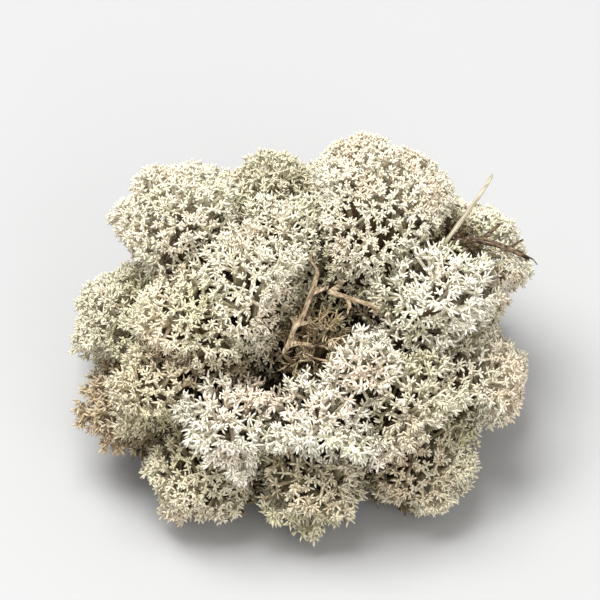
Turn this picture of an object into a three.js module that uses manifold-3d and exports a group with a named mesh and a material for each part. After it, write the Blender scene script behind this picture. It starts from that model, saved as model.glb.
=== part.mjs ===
// Reindeer moss clump: one picked cushion of the lichen Cladonia stellaris, dry and bleached.
//
// The cushion is a crowd of separate plants, called podetia. Each one is shaped like a club: a lumpy
// rounded crown of tightly forked branchlets on a stalk that narrows towards the ground. The stalks lean
// in on each other like the stems in a posy, so they all point at one spot just under the resting face.
// Litter is caught between them: dead tan stalks in a hollow at the front, a straw and two dark twigs.
//
// Units are millimetres. +Z is up, +X runs along the longest side and -Y is the front. The origin is in
// the middle of the resting face, where the broken stalk ends stand.

import * as THREE from "three";
import { mergeVertices } from "three/addons/utils/BufferGeometryUtils.js";
import Module from "manifold-3d";

const wasm = await Module();
wasm.setup();

// Driving dimensions.
const ROOT_DEPTH = 14;          // depth below the resting face of the spot that all stalks point at
const CLEARANCE = 0.3;          // air left between neighbouring plants
const STALK_SHARE = 0.9;        // width of a stalk's cone, as a share of the cone that holds its crown
const STALK_START = 6;          // distance from the root spot at which a stalk's cone begins
const STALK_SIDES = 8;
const BIG_CROWN = 8;            // crowns over this radius get the finer ball
const BIG_CROWN_DETAIL = 3;     // subdivision of the ball that a big crown is shaped from
const SMALL_CROWN_DETAIL = 2;   // the same for a small crown
const LOBES = 15;               // lobes spread over the whole ball of one crown
const LOBE_HEIGHT = 0.17;       // how far a lobe stands out, as a share of the crown's radius
const LOBE_SPREAD = 0.62;       // angle in radians over which a lobe fades out
const LITTER_SIDES = 8;
const LITTER_STEPS = 5;         // straight steps along one bent stalk or twig

const ROOT = new THREE.Vector3(0, 0, -ROOT_DEPTH);
const UP = new THREE.Vector3(0, 0, 1);
const GOLDEN_ANGLE = Math.PI * (3 - Math.sqrt(5));

// Dry colours of the clump.
const FINISHES = {
  pale: { color: 0xd9d5c3, roughness: 0.95 },
  white: { color: 0xe2dfd2, roughness: 0.95 },
  beige: { color: 0xcfc4a6, roughness: 0.95 },
  tan: { color: 0xb29b74, roughness: 0.95 },
  straw: { color: 0xe4dcbc, roughness: 0.6 },
  bark: { color: 0x4a3524, roughness: 0.9 },
};

// The plants: where the middle of each crown is, its radius, and its colour.
const PODETIA = [
  { name: "crown_left", at: [-15.5, 3, 30.5], radius: 11.5, finish: "pale" },
  { name: "crown_right", at: [9.5, 6, 31], radius: 12.5, finish: "pale" },
  { name: "crown_saddle", at: [-4, 12, 27.5], radius: 8.5, finish: "pale" },
  { name: "crown_centre", at: [-7, -7, 31], radius: 9.5, finish: "pale" },
  { name: "crown_middle", at: [-2.5, 2.5, 31], radius: 7, finish: "pale" },
  { name: "shoulder_left", at: [-15.5, -10.5, 26.5], radius: 9.5, finish: "beige" },
  { name: "shoulder_right", at: [18.5, -6, 26.5], radius: 10, finish: "white" },
  { name: "flank_left", at: [-22.5, -2.5, 19], radius: 9.5, finish: "pale" },
  { name: "flank_right", at: [22, 7.5, 20.5], radius: 10, finish: "pale" },
  { name: "front_corner", at: [-18.5, -15, 19.5], radius: 8.5, finish: "beige" },
  { name: "front_left", at: [-10.5, -20, 17.5], radius: 9, finish: "white" },
  { name: "front_upper", at: [8, -15.5, 23.5], radius: 7.2, finish: "white" },
  { name: "front_middle", at: [2.5, -20.5, 16.5], radius: 10, finish: "white" },
  { name: "front_right", at: [14.5, -17, 19], radius: 9, finish: "pale" },
  { name: "side_right", at: [22.5, -10, 16.5], radius: 8.8, finish: "pale" },
  { name: "back_left", at: [-15.5, 14.5, 19.5], radius: 11, finish: "pale" },
  { name: "back_middle", at: [-1, 19.5, 17.5], radius: 10, finish: "pale" },
  { name: "back_right", at: [13.5, 16, 19.5], radius: 10.5, finish: "pale" },
  { name: "tuft_tan", at: [-24, -10.5, 12], radius: 7, finish: "tan" },
  { name: "tuft_front_left", at: [-13.5, -19, 8.5], radius: 8.3, finish: "beige" },
  { name: "tuft_front", at: [1.5, -21, 8.5], radius: 8.3, finish: "beige" },
  { name: "tuft_front_right", at: [16.5, -17, 8.5], radius: 8.3, finish: "beige" },
  { name: "tuft_right", at: [23.5, -2, 9.5], radius: 8, finish: "beige" },
  { name: "tuft_back_right", at: [21, 12.5, 9], radius: 8.3, finish: "beige" },
  { name: "tuft_back", at: [7, 21.8, 9], radius: 8.2, finish: "beige" },
  { name: "tuft_back_left", at: [-9, 21.3, 9], radius: 8.2, finish: "beige" },
  { name: "tuft_left", at: [-22.8, 8, 9], radius: 8.2, finish: "beige" },
  { name: "dead_podetium", at: [2, -10.5, 24.5], radius: 6.2, finish: "tan" },
];

// The litter: each piece runs straight between its ends, apart from a bow to one side at its middle.
const LITTER = [
  {
    name: "dead_stalk_long",
    radius: 0.6,
    finish: "tan",
    from: [-2.5, -14.5, 26.5],
    to: [2.3, -3.5, 31.5],
    bow: [1, -0.8, 1.2],
  },
  {
    name: "dead_stalk_short",
    radius: 0.55,
    finish: "tan",
    from: [3.6, -7, 30.3],
    to: [10.5, -9.5, 29.6],
    bow: [0, 0, 0.6],
  },
  {
    name: "pale_straw",
    radius: 0.5,
    finish: "straw",
    from: [18, -1, 31.5],
    to: [26, 10, 36],
    bow: [0.3, -0.3, 0.5],
  },
  {
    name: "dark_twig_long",
    radius: 0.65,
    finish: "bark",
    from: [19.5, 2.5, 30],
    to: [30.5, 0.5, 29.5],
    bow: [0, 0.6, 0.9],
  },
  {
    name: "dark_twig_short",
    radius: 0.5,
    finish: "bark",
    from: [19.5, 7, 28.5],
    to: [27.5, -2.5, 28.2],
    bow: [0.5, 0.5, -0.4],
  },
];

/** Turns a closed three.js geometry into a solid that can be joined and cut. */
function toSolid(geometry) {
  geometry.deleteAttribute("normal");
  geometry.deleteAttribute("uv");
  const merged = mergeVertices(geometry, 1e-4);
  return new wasm.Manifold(new wasm.Mesh({
    numProp: 3,
    vertProperties: new Float32Array(merged.attributes.position.array),
    triVerts: new Uint32Array(merged.index.array),
  }));
}

/** Turns a solid back into a three.js geometry. */
function toGeometry(solid) {
  const mesh = solid.getMesh();
  const geometry = new THREE.BufferGeometry();
  geometry.setAttribute("position", new THREE.BufferAttribute(mesh.vertProperties, 3));
  geometry.setIndex(new THREE.BufferAttribute(mesh.triVerts, 1));
  geometry.computeVertexNormals();
  return geometry;
}

/** Directions spread evenly over a ball, turned by a phase so that no two crowns look alike. */
function lobeDirections(phase) {
  const directions = [];
  for (let i = 0; i < LOBES; i += 1) {
    const height = 1 - (2 * (i + 0.5)) / LOBES;
    const ring = Math.sqrt(1 - height * height);
    const turn = GOLDEN_ANGLE * i + phase;
    directions.push(new THREE.Vector3(ring * Math.cos(turn), ring * Math.sin(turn), height));
  }
  return directions;
}

/** A crown: a ball whose surface swells into lobes. */
function crownSolid(centre, radius, phase) {
  const detail = radius > BIG_CROWN ? BIG_CROWN_DETAIL : SMALL_CROWN_DETAIL;
  const geometry = new THREE.IcosahedronGeometry(1, detail);
  const position = geometry.attributes.position;
  const lobes = lobeDirections(phase);
  const point = new THREE.Vector3();
  for (let i = 0; i < position.count; i += 1) {
    point.fromBufferAttribute(position, i).normalize();
    const nearest = Math.min(...lobes.map((lobe) => lobe.angleTo(point)));
    const swell = Math.cos(Math.min(nearest / LOBE_SPREAD, 1) * Math.PI / 2);
    point.multiplyScalar(radius * (1 + LOBE_HEIGHT * (swell - 1))).add(centre);
    position.setXYZ(i, point.x, point.y, point.z);
  }
  return toSolid(geometry);
}

/** A stalk: a cone that opens from near the root spot to the middle of the crown. */
function stalkSolid(direction, length, slope) {
  const profile = [
    new THREE.Vector2(0, STALK_START),
    new THREE.Vector2(STALK_START * slope, STALK_START),
    new THREE.Vector2(length * slope, length),
    new THREE.Vector2(0, length),
  ];
  const geometry = new THREE.LatheGeometry(profile, STALK_SIDES);
  const turn = new THREE.Quaternion().setFromUnitVectors(new THREE.Vector3(0, 1, 0), direction);
  geometry.applyQuaternion(turn);
  geometry.translate(ROOT.x, ROOT.y, ROOT.z);
  return toSolid(geometry);
}

/** The plane through the root spot that parts two plants, facing the first one. */
function partingNormal(plant, other) {
  const apart = plant.direction.angleTo(other.direction);
  const share = plant.cone / (plant.cone + other.cone);
  const sideways = new THREE.Vector3().crossVectors(plant.direction, other.direction).normalize();
  const crease = plant.direction.clone().applyAxisAngle(sideways, apart * share);
  return new THREE.Vector3().crossVectors(crease, sideways).normalize();
}

/** A round stick along a bowed path; spare air makes it wider and longer, for the room around a piece. */
function stickSolid(piece, spare = 0) {
  const from = new THREE.Vector3(...piece.from);
  const to = new THREE.Vector3(...piece.to);
  const lengthening = to.clone().sub(from).setLength(spare);
  from.sub(lengthening);
  to.add(lengthening);
  const middle = from.clone().add(to).multiplyScalar(0.5).add(new THREE.Vector3(...piece.bow));
  const path = new THREE.CatmullRomCurve3([from, middle, to]);
  const section = new THREE.Shape();
  section.absarc(0, 0, piece.radius + spare, 0, 2 * Math.PI, false);
  const geometry = new THREE.ExtrudeGeometry(section, {
    steps: LITTER_STEPS,
    curveSegments: LITTER_SIDES / 2,
    extrudePath: path,
    bevelEnabled: false,
  });
  return toSolid(geometry);
}

/** Works out where each plant leans and how wide a cone its crown fills, seen from the root spot. */
function describePlant(spec) {
  const centre = new THREE.Vector3(...spec.at);
  const reach = centre.clone().sub(ROOT);
  const length = reach.length();
  return { ...spec, centre, length, direction: reach.normalize(), cone: Math.asin(spec.radius / length) };
}

/** One plant: crown and stalk in one piece, cut flat at the ground and parted from its neighbours. */
function plantSolid(plant, plants, phase) {
  const crown = crownSolid(plant.centre, plant.radius, phase);
  const stalk = stalkSolid(plant.direction, plant.length, Math.tan(plant.cone * STALK_SHARE));
  let solid = crown.add(stalk).trimByPlane(UP.toArray(), 0);
  for (const other of plants) {
    if (other === plant) continue;
    const normal = partingNormal(plant, other);
    solid = solid.trimByPlane(normal.toArray(), normal.dot(ROOT) + CLEARANCE / 2);
  }
  for (const piece of LITTER) {
    solid = solid.subtract(stickSolid(piece, CLEARANCE));
  }
  return solid;
}

/** A named mesh with the colour and roughness of its finish. */
function namedMesh(name, solid, finish) {
  const mesh = new THREE.Mesh(toGeometry(solid), new THREE.MeshStandardMaterial(FINISHES[finish]));
  mesh.name = name;
  return mesh;
}

const clump = new THREE.Group();
const plants = PODETIA.map(describePlant);
plants.forEach((plant, index) => {
  clump.add(namedMesh(plant.name, plantSolid(plant, plants, index), plant.finish));
});
for (const piece of LITTER) {
  clump.add(namedMesh(piece.name, stickSolid(piece), piece.finish));
}

const middle = new THREE.Box3().setFromObject(clump).getCenter(new THREE.Vector3());
clump.position.set(-middle.x, -middle.y, 0);

export default clump;
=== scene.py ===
"""A dry clump of reindeer moss: pale crowns of forked branchlets on leaning stalks, with caught litter.

Every plant (podetium) is grown inside its own solid of the frame. Whorls of pointed tips are spread over
the crown, neighbouring whorls are gathered onto shared branches level by level, and the last branches run
down to the resting face as stalks. The litter is modelled from a circle that is pushed out step by step.
"""

import logging
import math
from dataclasses import dataclass, field, fields
from enum import Enum
from functools import partial

import bmesh
import bpy
import numpy as np
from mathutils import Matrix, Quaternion, Vector, noise
from mathutils.bvhtree import BVHTree


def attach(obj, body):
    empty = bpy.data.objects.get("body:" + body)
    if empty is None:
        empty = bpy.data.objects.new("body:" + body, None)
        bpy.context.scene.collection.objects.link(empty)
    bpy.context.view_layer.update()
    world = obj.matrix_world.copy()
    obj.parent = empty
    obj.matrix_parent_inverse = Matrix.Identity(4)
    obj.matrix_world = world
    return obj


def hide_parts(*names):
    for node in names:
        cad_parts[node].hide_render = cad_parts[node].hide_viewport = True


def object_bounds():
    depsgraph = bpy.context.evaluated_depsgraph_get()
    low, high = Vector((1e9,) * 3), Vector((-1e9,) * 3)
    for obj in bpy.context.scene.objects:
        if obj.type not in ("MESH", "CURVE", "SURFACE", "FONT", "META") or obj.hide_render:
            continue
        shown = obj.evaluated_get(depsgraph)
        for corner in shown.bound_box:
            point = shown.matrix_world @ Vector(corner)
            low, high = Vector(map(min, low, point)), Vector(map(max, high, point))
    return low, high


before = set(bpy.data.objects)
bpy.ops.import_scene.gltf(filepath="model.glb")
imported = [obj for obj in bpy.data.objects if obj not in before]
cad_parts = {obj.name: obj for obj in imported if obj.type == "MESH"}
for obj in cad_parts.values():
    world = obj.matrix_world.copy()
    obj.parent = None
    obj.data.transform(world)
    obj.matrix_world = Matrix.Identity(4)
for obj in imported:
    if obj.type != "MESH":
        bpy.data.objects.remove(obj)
CAD_BOX = [list(corner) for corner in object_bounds()]

LOG = logging.getLogger("clump")
BODY = "root"
MM = 0.001
TINY = 1e-12  # keeps a division away from zero
ROOT = np.array((0.0, 0.0, -14.0)) * MM  # the spot that all stalks point at
GROWTH_MAP = "OFBake"  # a UV map: across it runs the age of a twig, with painted shade added to it as age, and up it runs the twig's tint
AGE_HALF = 8.0 * MM  # a twig this far from its tips is half way across the growth map
TINT_WIDTH = 0.006  # height of the band that one twig takes on the growth map
TIP_LENGTH = 1.3  # length of a tip, as a share of its rise
TIP_SIDES = 3
AVERAGED_AT_ONCE = 400
BOW = 0.8  # how strongly a bowed path keeps to its directions, as a share of its length

Colour = tuple[float, float, float]
Stops = tuple[tuple[float, Colour], ...]
Range = tuple[float, float]
Triple = tuple[float, float, float]

UNCHANGED: Colour = (1.0, 1.0, 1.0)  # as a factor, it leaves a colour as it is


def paint(red: int, green: int, blue: int) -> Colour:
    """Turns a colour as seen into the linear values that a shader takes.

    Args:
        red: red as seen, from 0 to 255.
        green: green as seen.
        blue: blue as seen.

    Returns:
        The linear red, green and blue, from 0 to 1.
    """

    def linear(value: int) -> float:
        """Undoes the sRGB display curve of one channel."""
        share = value / 255
        return share / 12.92 if share <= 0.04045 else ((share + 0.055) / 1.055) ** 2.4

    return linear(red), linear(green), linear(blue)


def unit(vectors: np.ndarray) -> np.ndarray:
    """Scales vectors to length one."""
    return vectors / (np.linalg.norm(vectors, axis=-1, keepdims=True) + TINY)


def nearest(points: np.ndarray, centres: np.ndarray) -> np.ndarray:
    """For each point, the index of the nearest centre."""
    apart = ((points[:, None, :] - centres[None, :, :]) ** 2).sum(2)
    return apart.argmin(1)


def thinned(points: np.ndarray, gap: np.ndarray | float, rng: np.random.Generator) -> np.ndarray:
    """Picks points that lie at least a gap apart.

    Args:
        points: candidates, shaped (n, 3).
        gap: least distance between two picked points, for all or for each.
        rng: source of the random order.

    Returns:
        The indices of the picked points.
    """
    gaps = np.broadcast_to(np.asarray(gap, float), (len(points),))
    free = np.ones(len(points), bool)
    picked = []
    for i in rng.permutation(len(points)):
        if free[i]:
            picked.append(i)
            free &= ((points - points[i]) ** 2).sum(1) > gaps * gaps[i]
    return np.array(picked, int)


def averaged(values: np.ndarray, owner: np.ndarray, groups: int) -> np.ndarray:
    """Averages values over the members of each group.

    Args:
        values: one value or vector for each member.
        owner: the group of each member.
        groups: number of groups.

    Returns:
        The average of each group.
    """
    count = np.bincount(owner, minlength=groups).astype(float)
    columns = values.reshape(len(owner), -1).T
    sums = np.stack([np.bincount(owner, column, groups) for column in columns], 1)
    return (sums / count[:, None]).reshape(groups, *values.shape[1:])


def spread_over(points: np.ndarray, values: np.ndarray, targets: np.ndarray, reach: float) -> np.ndarray:
    """Averages values round each target, weighted by a bell curve.

    Args:
        points: where the values are known, shaped (n, 3).
        values: the values, shaped (n, channels).
        targets: where the averages are wanted.
        reach: width of the bell curve.

    Returns:
        The averages, shaped (targets, channels).
    """
    out = np.empty((len(targets), values.shape[1]))
    for start in range(0, len(targets), AVERAGED_AT_ONCE):
        part = slice(start, start + AVERAGED_AT_ONCE)
        apart = ((targets[part, None] - points[None]) ** 2).sum(2) / reach**2
        weight = np.exp(-(apart - apart.min(1, keepdims=True)))
        out[part] = weight @ values / weight.sum(1, keepdims=True)
    return out


def bowed(
    start: np.ndarray,
    leave: np.ndarray,
    end: np.ndarray,
    arrive: np.ndarray,
    rings: int,
) -> np.ndarray:
    """Smooth paths between pairs of points.

    Args:
        start: start points, shaped (n, 3).
        leave: directions in which the paths leave.
        end: end points.
        arrive: directions in which the paths arrive.
        rings: points along each path.

    Returns:
        The paths, shaped (n, rings, 3).
    """
    reach = np.linalg.norm(end - start, axis=1)[:, None, None] * BOW
    t = np.linspace(0, 1, rings)[None, :, None]
    return (
        (2 * t**3 - 3 * t**2 + 1) * start[:, None]
        + (t**3 - 2 * t**2 + t) * leave[:, None] * reach
        + (3 * t**2 - 2 * t**3) * end[:, None]
        + (t**3 - t**2) * arrive[:, None] * reach
    )


def declare(piece: bpy.types.Object, node: str) -> None:
    """Tells the frame what a finished piece rides on and stands for, and reports it.

    Args:
        piece: the finished piece.
        node: the node that it replaces.
    """
    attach(piece, BODY)
    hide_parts(node)
    triangles = sum(len(polygon.vertices) - 2 for polygon in piece.data.polygons)
    LOG.info("%s: %d triangles", piece.name, triangles)


class Habit(Enum):
    """How densely a crown is branched."""

    DENSE = "dense"
    TIGHT = "tight"
    NET = "net"
    WITHERED = "withered"


@dataclass(frozen=True)
class Branching:
    """Sizes of the twigs in one kind of crown.

    Args:
        whorl_gap: least distance between two whorls of tips on the crown.
        tips: least and greatest number of tips in a whorl.
        tip_rise: height of the tips over the whorl's node.
        tip_spread: how far a tip leans out from the middle of its whorl.
        tip_radius: radius of a tip at its base.
        lean: random lean of a whorl, as a share of its facing.
        ragged: random rise and fall of the whorls.
        knob_gap: distance between the knobs that a crown is made of.
        knob_depth: depth of the creases between the knobs.
        huddle: how far whorls draw together onto the branch that they share.
        pit_gap: distance between the open pits in the crown.
        pit_radius: radius of a pit.
    """

    whorl_gap: float
    tips: tuple[int, int]
    tip_rise: float
    tip_spread: float
    tip_radius: float
    lean: float
    ragged: float
    knob_gap: float
    knob_depth: float
    huddle: float
    pit_gap: float
    pit_radius: float


BRANCHING = {
    Habit.DENSE: Branching(
        whorl_gap=0.94 * MM,
        tips=(5, 7),
        tip_rise=0.50 * MM,
        tip_spread=0.62 * MM,
        tip_radius=0.165 * MM,
        lean=0.26,
        ragged=0.13 * MM,
        knob_gap=6.5 * MM,
        knob_depth=1.2 * MM,
        huddle=0.05,
        pit_gap=5.4 * MM,
        pit_radius=0.55 * MM,
    ),
    Habit.TIGHT: Branching(
        whorl_gap=1.08 * MM,
        tips=(4, 6),
        tip_rise=0.56 * MM,
        tip_spread=0.66 * MM,
        tip_radius=0.168 * MM,
        lean=0.3,
        ragged=0.17 * MM,
        knob_gap=6.2 * MM,
        knob_depth=1.5 * MM,
        huddle=0.07,
        pit_gap=4.4 * MM,
        pit_radius=0.8 * MM,
    ),
    Habit.NET: Branching(
        whorl_gap=1.2 * MM,
        tips=(4, 6),
        tip_rise=0.85 * MM,
        tip_spread=0.76 * MM,
        tip_radius=0.18 * MM,
        lean=0.35,
        ragged=0.30 * MM,
        knob_gap=6.0 * MM,
        knob_depth=2.0 * MM,
        huddle=0.15,
        pit_gap=5.4 * MM,
        pit_radius=0.8 * MM,
    ),
    Habit.WITHERED: Branching(
        whorl_gap=1.5 * MM,
        tips=(3, 5),
        tip_rise=1.25 * MM,
        tip_spread=0.85 * MM,
        tip_radius=0.13 * MM,
        lean=0.45,
        ragged=0.5 * MM,
        knob_gap=4.0 * MM,
        knob_depth=1.6 * MM,
        huddle=0.3,
        pit_gap=6.0 * MM,
        pit_radius=1.0 * MM,
    ),
}


class Shading:
    """The node tree of one new material, with short calls for the nodes that the finishes share."""

    def __init__(self, name: str, roughness: float, specular: float) -> None:
        """Makes the material.

        Args:
            name: name of the material.
            roughness: roughness of its surface.
            specular: strength of its mirror-like share.
        """
        self.material = bpy.data.materials.new(name)
        self.material.use_nodes = True
        self.nodes = self.material.node_tree.nodes
        self.links = self.material.node_tree.links
        self.shader = self.nodes["Principled BSDF"]
        self.shader.inputs["Roughness"].default_value = roughness
        self.shader.inputs["Specular IOR Level"].default_value = specular

    def ramp(self, value: bpy.types.NodeSocket, stops: Stops) -> bpy.types.NodeSocket:
        """Turns a value into a colour.

        Args:
            value: the socket with the value.
            stops: pairs of place and colour.

        Returns:
            The socket with the colour.
        """
        ramp = self.nodes.new("ShaderNodeValToRGB")
        elements = ramp.color_ramp.elements
        while len(elements) < len(stops):
            elements.new(0.5)
        for element, (place, colour) in zip(elements, stops):
            element.position = place
            element.color = (*colour, 1.0)
        self.links.new(value, ramp.inputs["Fac"])
        return ramp.outputs["Color"]

    def multiply(self, one: bpy.types.NodeSocket, other: bpy.types.NodeSocket) -> bpy.types.NodeSocket:
        """Multiplies two colours.

        Args:
            one: the socket with one colour.
            other: the socket with the other colour.

        Returns:
            The socket with the result.
        """
        mix = self.nodes.new("ShaderNodeMix")
        mix.data_type = "RGBA"
        mix.blend_type = "MULTIPLY"
        mix.inputs["Factor"].default_value = 1.0
        self.links.new(one, mix.inputs["A"])
        self.links.new(other, mix.inputs["B"])
        return mix.outputs["Result"]

    def growth_place(self) -> bpy.types.NodeSocket:
        """The place on the growth map.

        Returns:
            The socket with the place.
        """
        place = self.nodes.new("ShaderNodeUVMap")
        place.uv_map = GROWTH_MAP
        return place.outputs["UV"]

    def grain_place(self, centre: Vector, way: Vector, cell: Range) -> bpy.types.NodeSocket:
        """The place on a stick, measured in cells of its grain.

        Args:
            centre: middle of the stick.
            way: direction of the stick.
            cell: length and width of one cell.

        Returns:
            The socket with the place.
        """
        coordinates = self.nodes.new("ShaderNodeTexCoord")
        mapping = self.nodes.new("ShaderNodeMapping")
        mapping.vector_type = "TEXTURE"
        mapping.inputs["Location"].default_value = centre
        mapping.inputs["Rotation"].default_value = way.to_track_quat("X", "Z").to_euler()
        mapping.inputs["Scale"].default_value = (cell[0], cell[1], cell[1])
        self.links.new(coordinates.outputs["Object"], mapping.inputs["Vector"])
        return mapping.outputs["Vector"]

    def noise(
        self,
        place: bpy.types.NodeSocket,
        stretch: Triple = (1.0, 1.0, 1.0),
        detail: float = 3.0,
    ) -> bpy.types.NodeSocket:
        """Cloudy noise.

        Args:
            place: the socket with the place.
            stretch: how often the noise changes along each axis.
            detail: number of finer layers.

        Returns:
            The socket with the noise, from 0 to 1.
        """
        mapping = self.nodes.new("ShaderNodeMapping")
        mapping.inputs["Scale"].default_value = stretch
        clouds = self.nodes.new("ShaderNodeTexNoise")
        clouds.inputs["Scale"].default_value = 1.0
        clouds.inputs["Detail"].default_value = detail
        self.links.new(place, mapping.inputs["Vector"])
        self.links.new(mapping.outputs["Vector"], clouds.inputs["Vector"])
        return clouds.outputs["Fac"]

    def bump(self, height: bpy.types.NodeSocket, distance: float) -> None:
        """Roughens the surface.

        Args:
            height: the socket with the height, from 0 to 1.
            distance: the height that 1 stands for.
        """
        bump = self.nodes.new("ShaderNodeBump")
        bump.inputs["Strength"].default_value = 1.0
        bump.inputs["Distance"].default_value = distance
        self.links.new(height, bump.inputs["Height"])
        self.links.new(bump.outputs["Normal"], self.shader.inputs["Normal"])

    def colour(self, colour: bpy.types.NodeSocket) -> None:
        """Gives the surface its colour."""
        self.links.new(colour, self.shader.inputs["Base Color"])


@dataclass(frozen=True)
class LichenFinish:
    """Matte lichen, coloured along each twig by its age, which also carries painted shade.

    Args:
        slot: name of the material and of its slot.
        tip: colour of the youngest ends.
        young: colour of the living branches.
        aged: colour of the branches that the crown shades.
        dead: colour of the dead branches.
        rotten: brightness of the oldest ends, as a share of the dead colour.
        ages: places of the five colours across the growth map.
        tints: pairs of place up the growth map and the colour that the twig is multiplied by.
        flecks: how often the flecks change across and up the growth map.
        mottle: colours that the flecks are multiplied by.
        roughness: roughness of the surface.
        sheen: strength of the soft sheen.
        specular: strength of the mirror-like share.
    """

    slot: str
    tip: Colour
    young: Colour
    aged: Colour
    dead: Colour
    rotten: float = 0.4
    ages: tuple[float, ...] = (0.0, 0.2, 0.36, 0.58, 0.85)
    tints: Stops = (
        (0.0, (0.925, 0.953, 0.83)),
        (0.35, (0.98, 0.99, 0.96)),
        (0.6, (1.0, 0.99, 0.97)),
        (1.0, (1.0, 0.915, 0.86)),
    )
    flecks: Triple = (34.0, 90.0, 1.0)
    mottle: Stops = ((0.3, (0.84, 0.83, 0.80)), (0.62, UNCHANGED))
    roughness: float = 0.9
    sheen: float = 0.1
    specular: float = 0.25

    def material(self) -> bpy.types.Material:
        """Makes the material.

        Returns:
            A node material that reads the growth map.
        """
        shading = Shading(self.slot, self.roughness, self.specular)
        shading.shader.inputs["Sheen Weight"].default_value = self.sheen
        place = shading.growth_place()
        axes = shading.nodes.new("ShaderNodeSeparateXYZ")
        shading.links.new(place, axes.inputs["Vector"])
        rotten = tuple(self.rotten * channel for channel in self.dead)
        colours = (self.tip, self.young, self.aged, self.dead, rotten)
        by_age = shading.ramp(axes.outputs["X"], tuple(zip(self.ages, colours)))
        by_tint = shading.ramp(axes.outputs["Y"], self.tints)
        mottle = shading.ramp(shading.noise(place, self.flecks), self.mottle)
        shading.colour(shading.multiply(shading.multiply(by_age, by_tint), mottle))
        return shading.material


@dataclass(frozen=True)
class StickFinish:
    """The skin of a dry stalk, straw or twig, with grain along it.

    Args:
        slot: name of the material and of its slot.
        grain: colours from the grooves to the ridges of the grain.
        patches: colours that broad patches are multiplied by.
        cell: length and width of one cell of the grain.
        relief: height of the grain.
        roughness: roughness of the surface.
        specular: strength of the mirror-like share.
        grain_detail: number of finer layers in the grain.
        patch_stretch: how often the patches change along each axis of a cell.
        patch_detail: number of finer layers in the patches.
    """

    slot: str
    grain: Stops
    patches: Stops
    cell: Range
    relief: float
    roughness: float
    specular: float = 0.3
    grain_detail: float = 4.0
    patch_stretch: Triple = (0.8, 0.16, 0.16)
    patch_detail: float = 2.0

    def material(self, name: str, centre: Vector, way: Vector) -> bpy.types.Material:
        """Makes the material for one stick.

        Args:
            name: name of the material.
            centre: middle of the stick.
            way: direction of the stick.

        Returns:
            A node material that reads the piece's object coordinates.
        """
        shading = Shading(name, self.roughness, self.specular)
        place = shading.grain_place(centre, way, self.cell)
        grain = shading.noise(place, detail=self.grain_detail)
        broad = shading.noise(place, self.patch_stretch, self.patch_detail)
        shading.colour(shading.multiply(shading.ramp(grain, self.grain), shading.ramp(broad, self.patches)))
        shading.bump(grain, self.relief)
        return shading.material


class Finish(Enum):
    """The finishes of the living and dead lichen."""

    PALE = LichenFinish(
        "lichen_pale",
        tip=paint(241, 236, 219),
        young=paint(226, 219, 197),
        aged=paint(197, 187, 159),
        dead=paint(100, 80, 48),
    )
    WHITE = LichenFinish(
        "lichen_white",
        tip=paint(249, 245, 234),
        young=paint(240, 234, 218),
        aged=paint(221, 212, 192),
        dead=paint(106, 86, 54),
    )
    BEIGE = LichenFinish(
        "lichen_beige",
        tip=paint(240, 233, 211),
        young=paint(223, 213, 187),
        aged=paint(191, 178, 147),
        dead=paint(100, 78, 44),
    )
    TAN = LichenFinish(
        "lichen_tan",
        tip=paint(218, 206, 179),
        young=paint(192, 176, 144),
        aged=paint(167, 146, 113),
        dead=paint(107, 85, 58),
    )


DEAD_STALK = StickFinish(
    "dead_stalk",
    grain=((0.34, paint(98, 80, 58)), (0.5, paint(168, 149, 122)), (0.66, paint(205, 188, 162))),
    patches=((0.34, (0.62, 0.56, 0.48)), (0.6, UNCHANGED)),
    cell=(1.1 * MM, 0.2 * MM),
    relief=0.12 * MM,
    roughness=0.85,
)
DRY_STRAW = StickFinish(
    "dry_straw",
    grain=((0.34, paint(138, 128, 103)), (0.5, paint(181, 172, 148)), (0.66, paint(207, 199, 179))),
    patches=((0.3, (0.78, 0.74, 0.67)), (0.6, UNCHANGED)),
    cell=(5.0 * MM, 0.16 * MM),
    relief=0.03 * MM,
    roughness=0.45,
    specular=0.5,
)
DARK_BARK = StickFinish(
    "dark_bark",
    grain=(
        (0.3, paint(41, 31, 22)),
        (0.46, paint(88, 71, 54)),
        (0.6, paint(130, 110, 88)),
        (0.74, paint(174, 154, 131)),
    ),
    patches=((0.35, (0.55, 0.50, 0.47)), (0.6, UNCHANGED)),
    cell=(0.9 * MM, 0.26 * MM),
    relief=0.14 * MM,
    roughness=0.75,
)


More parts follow.
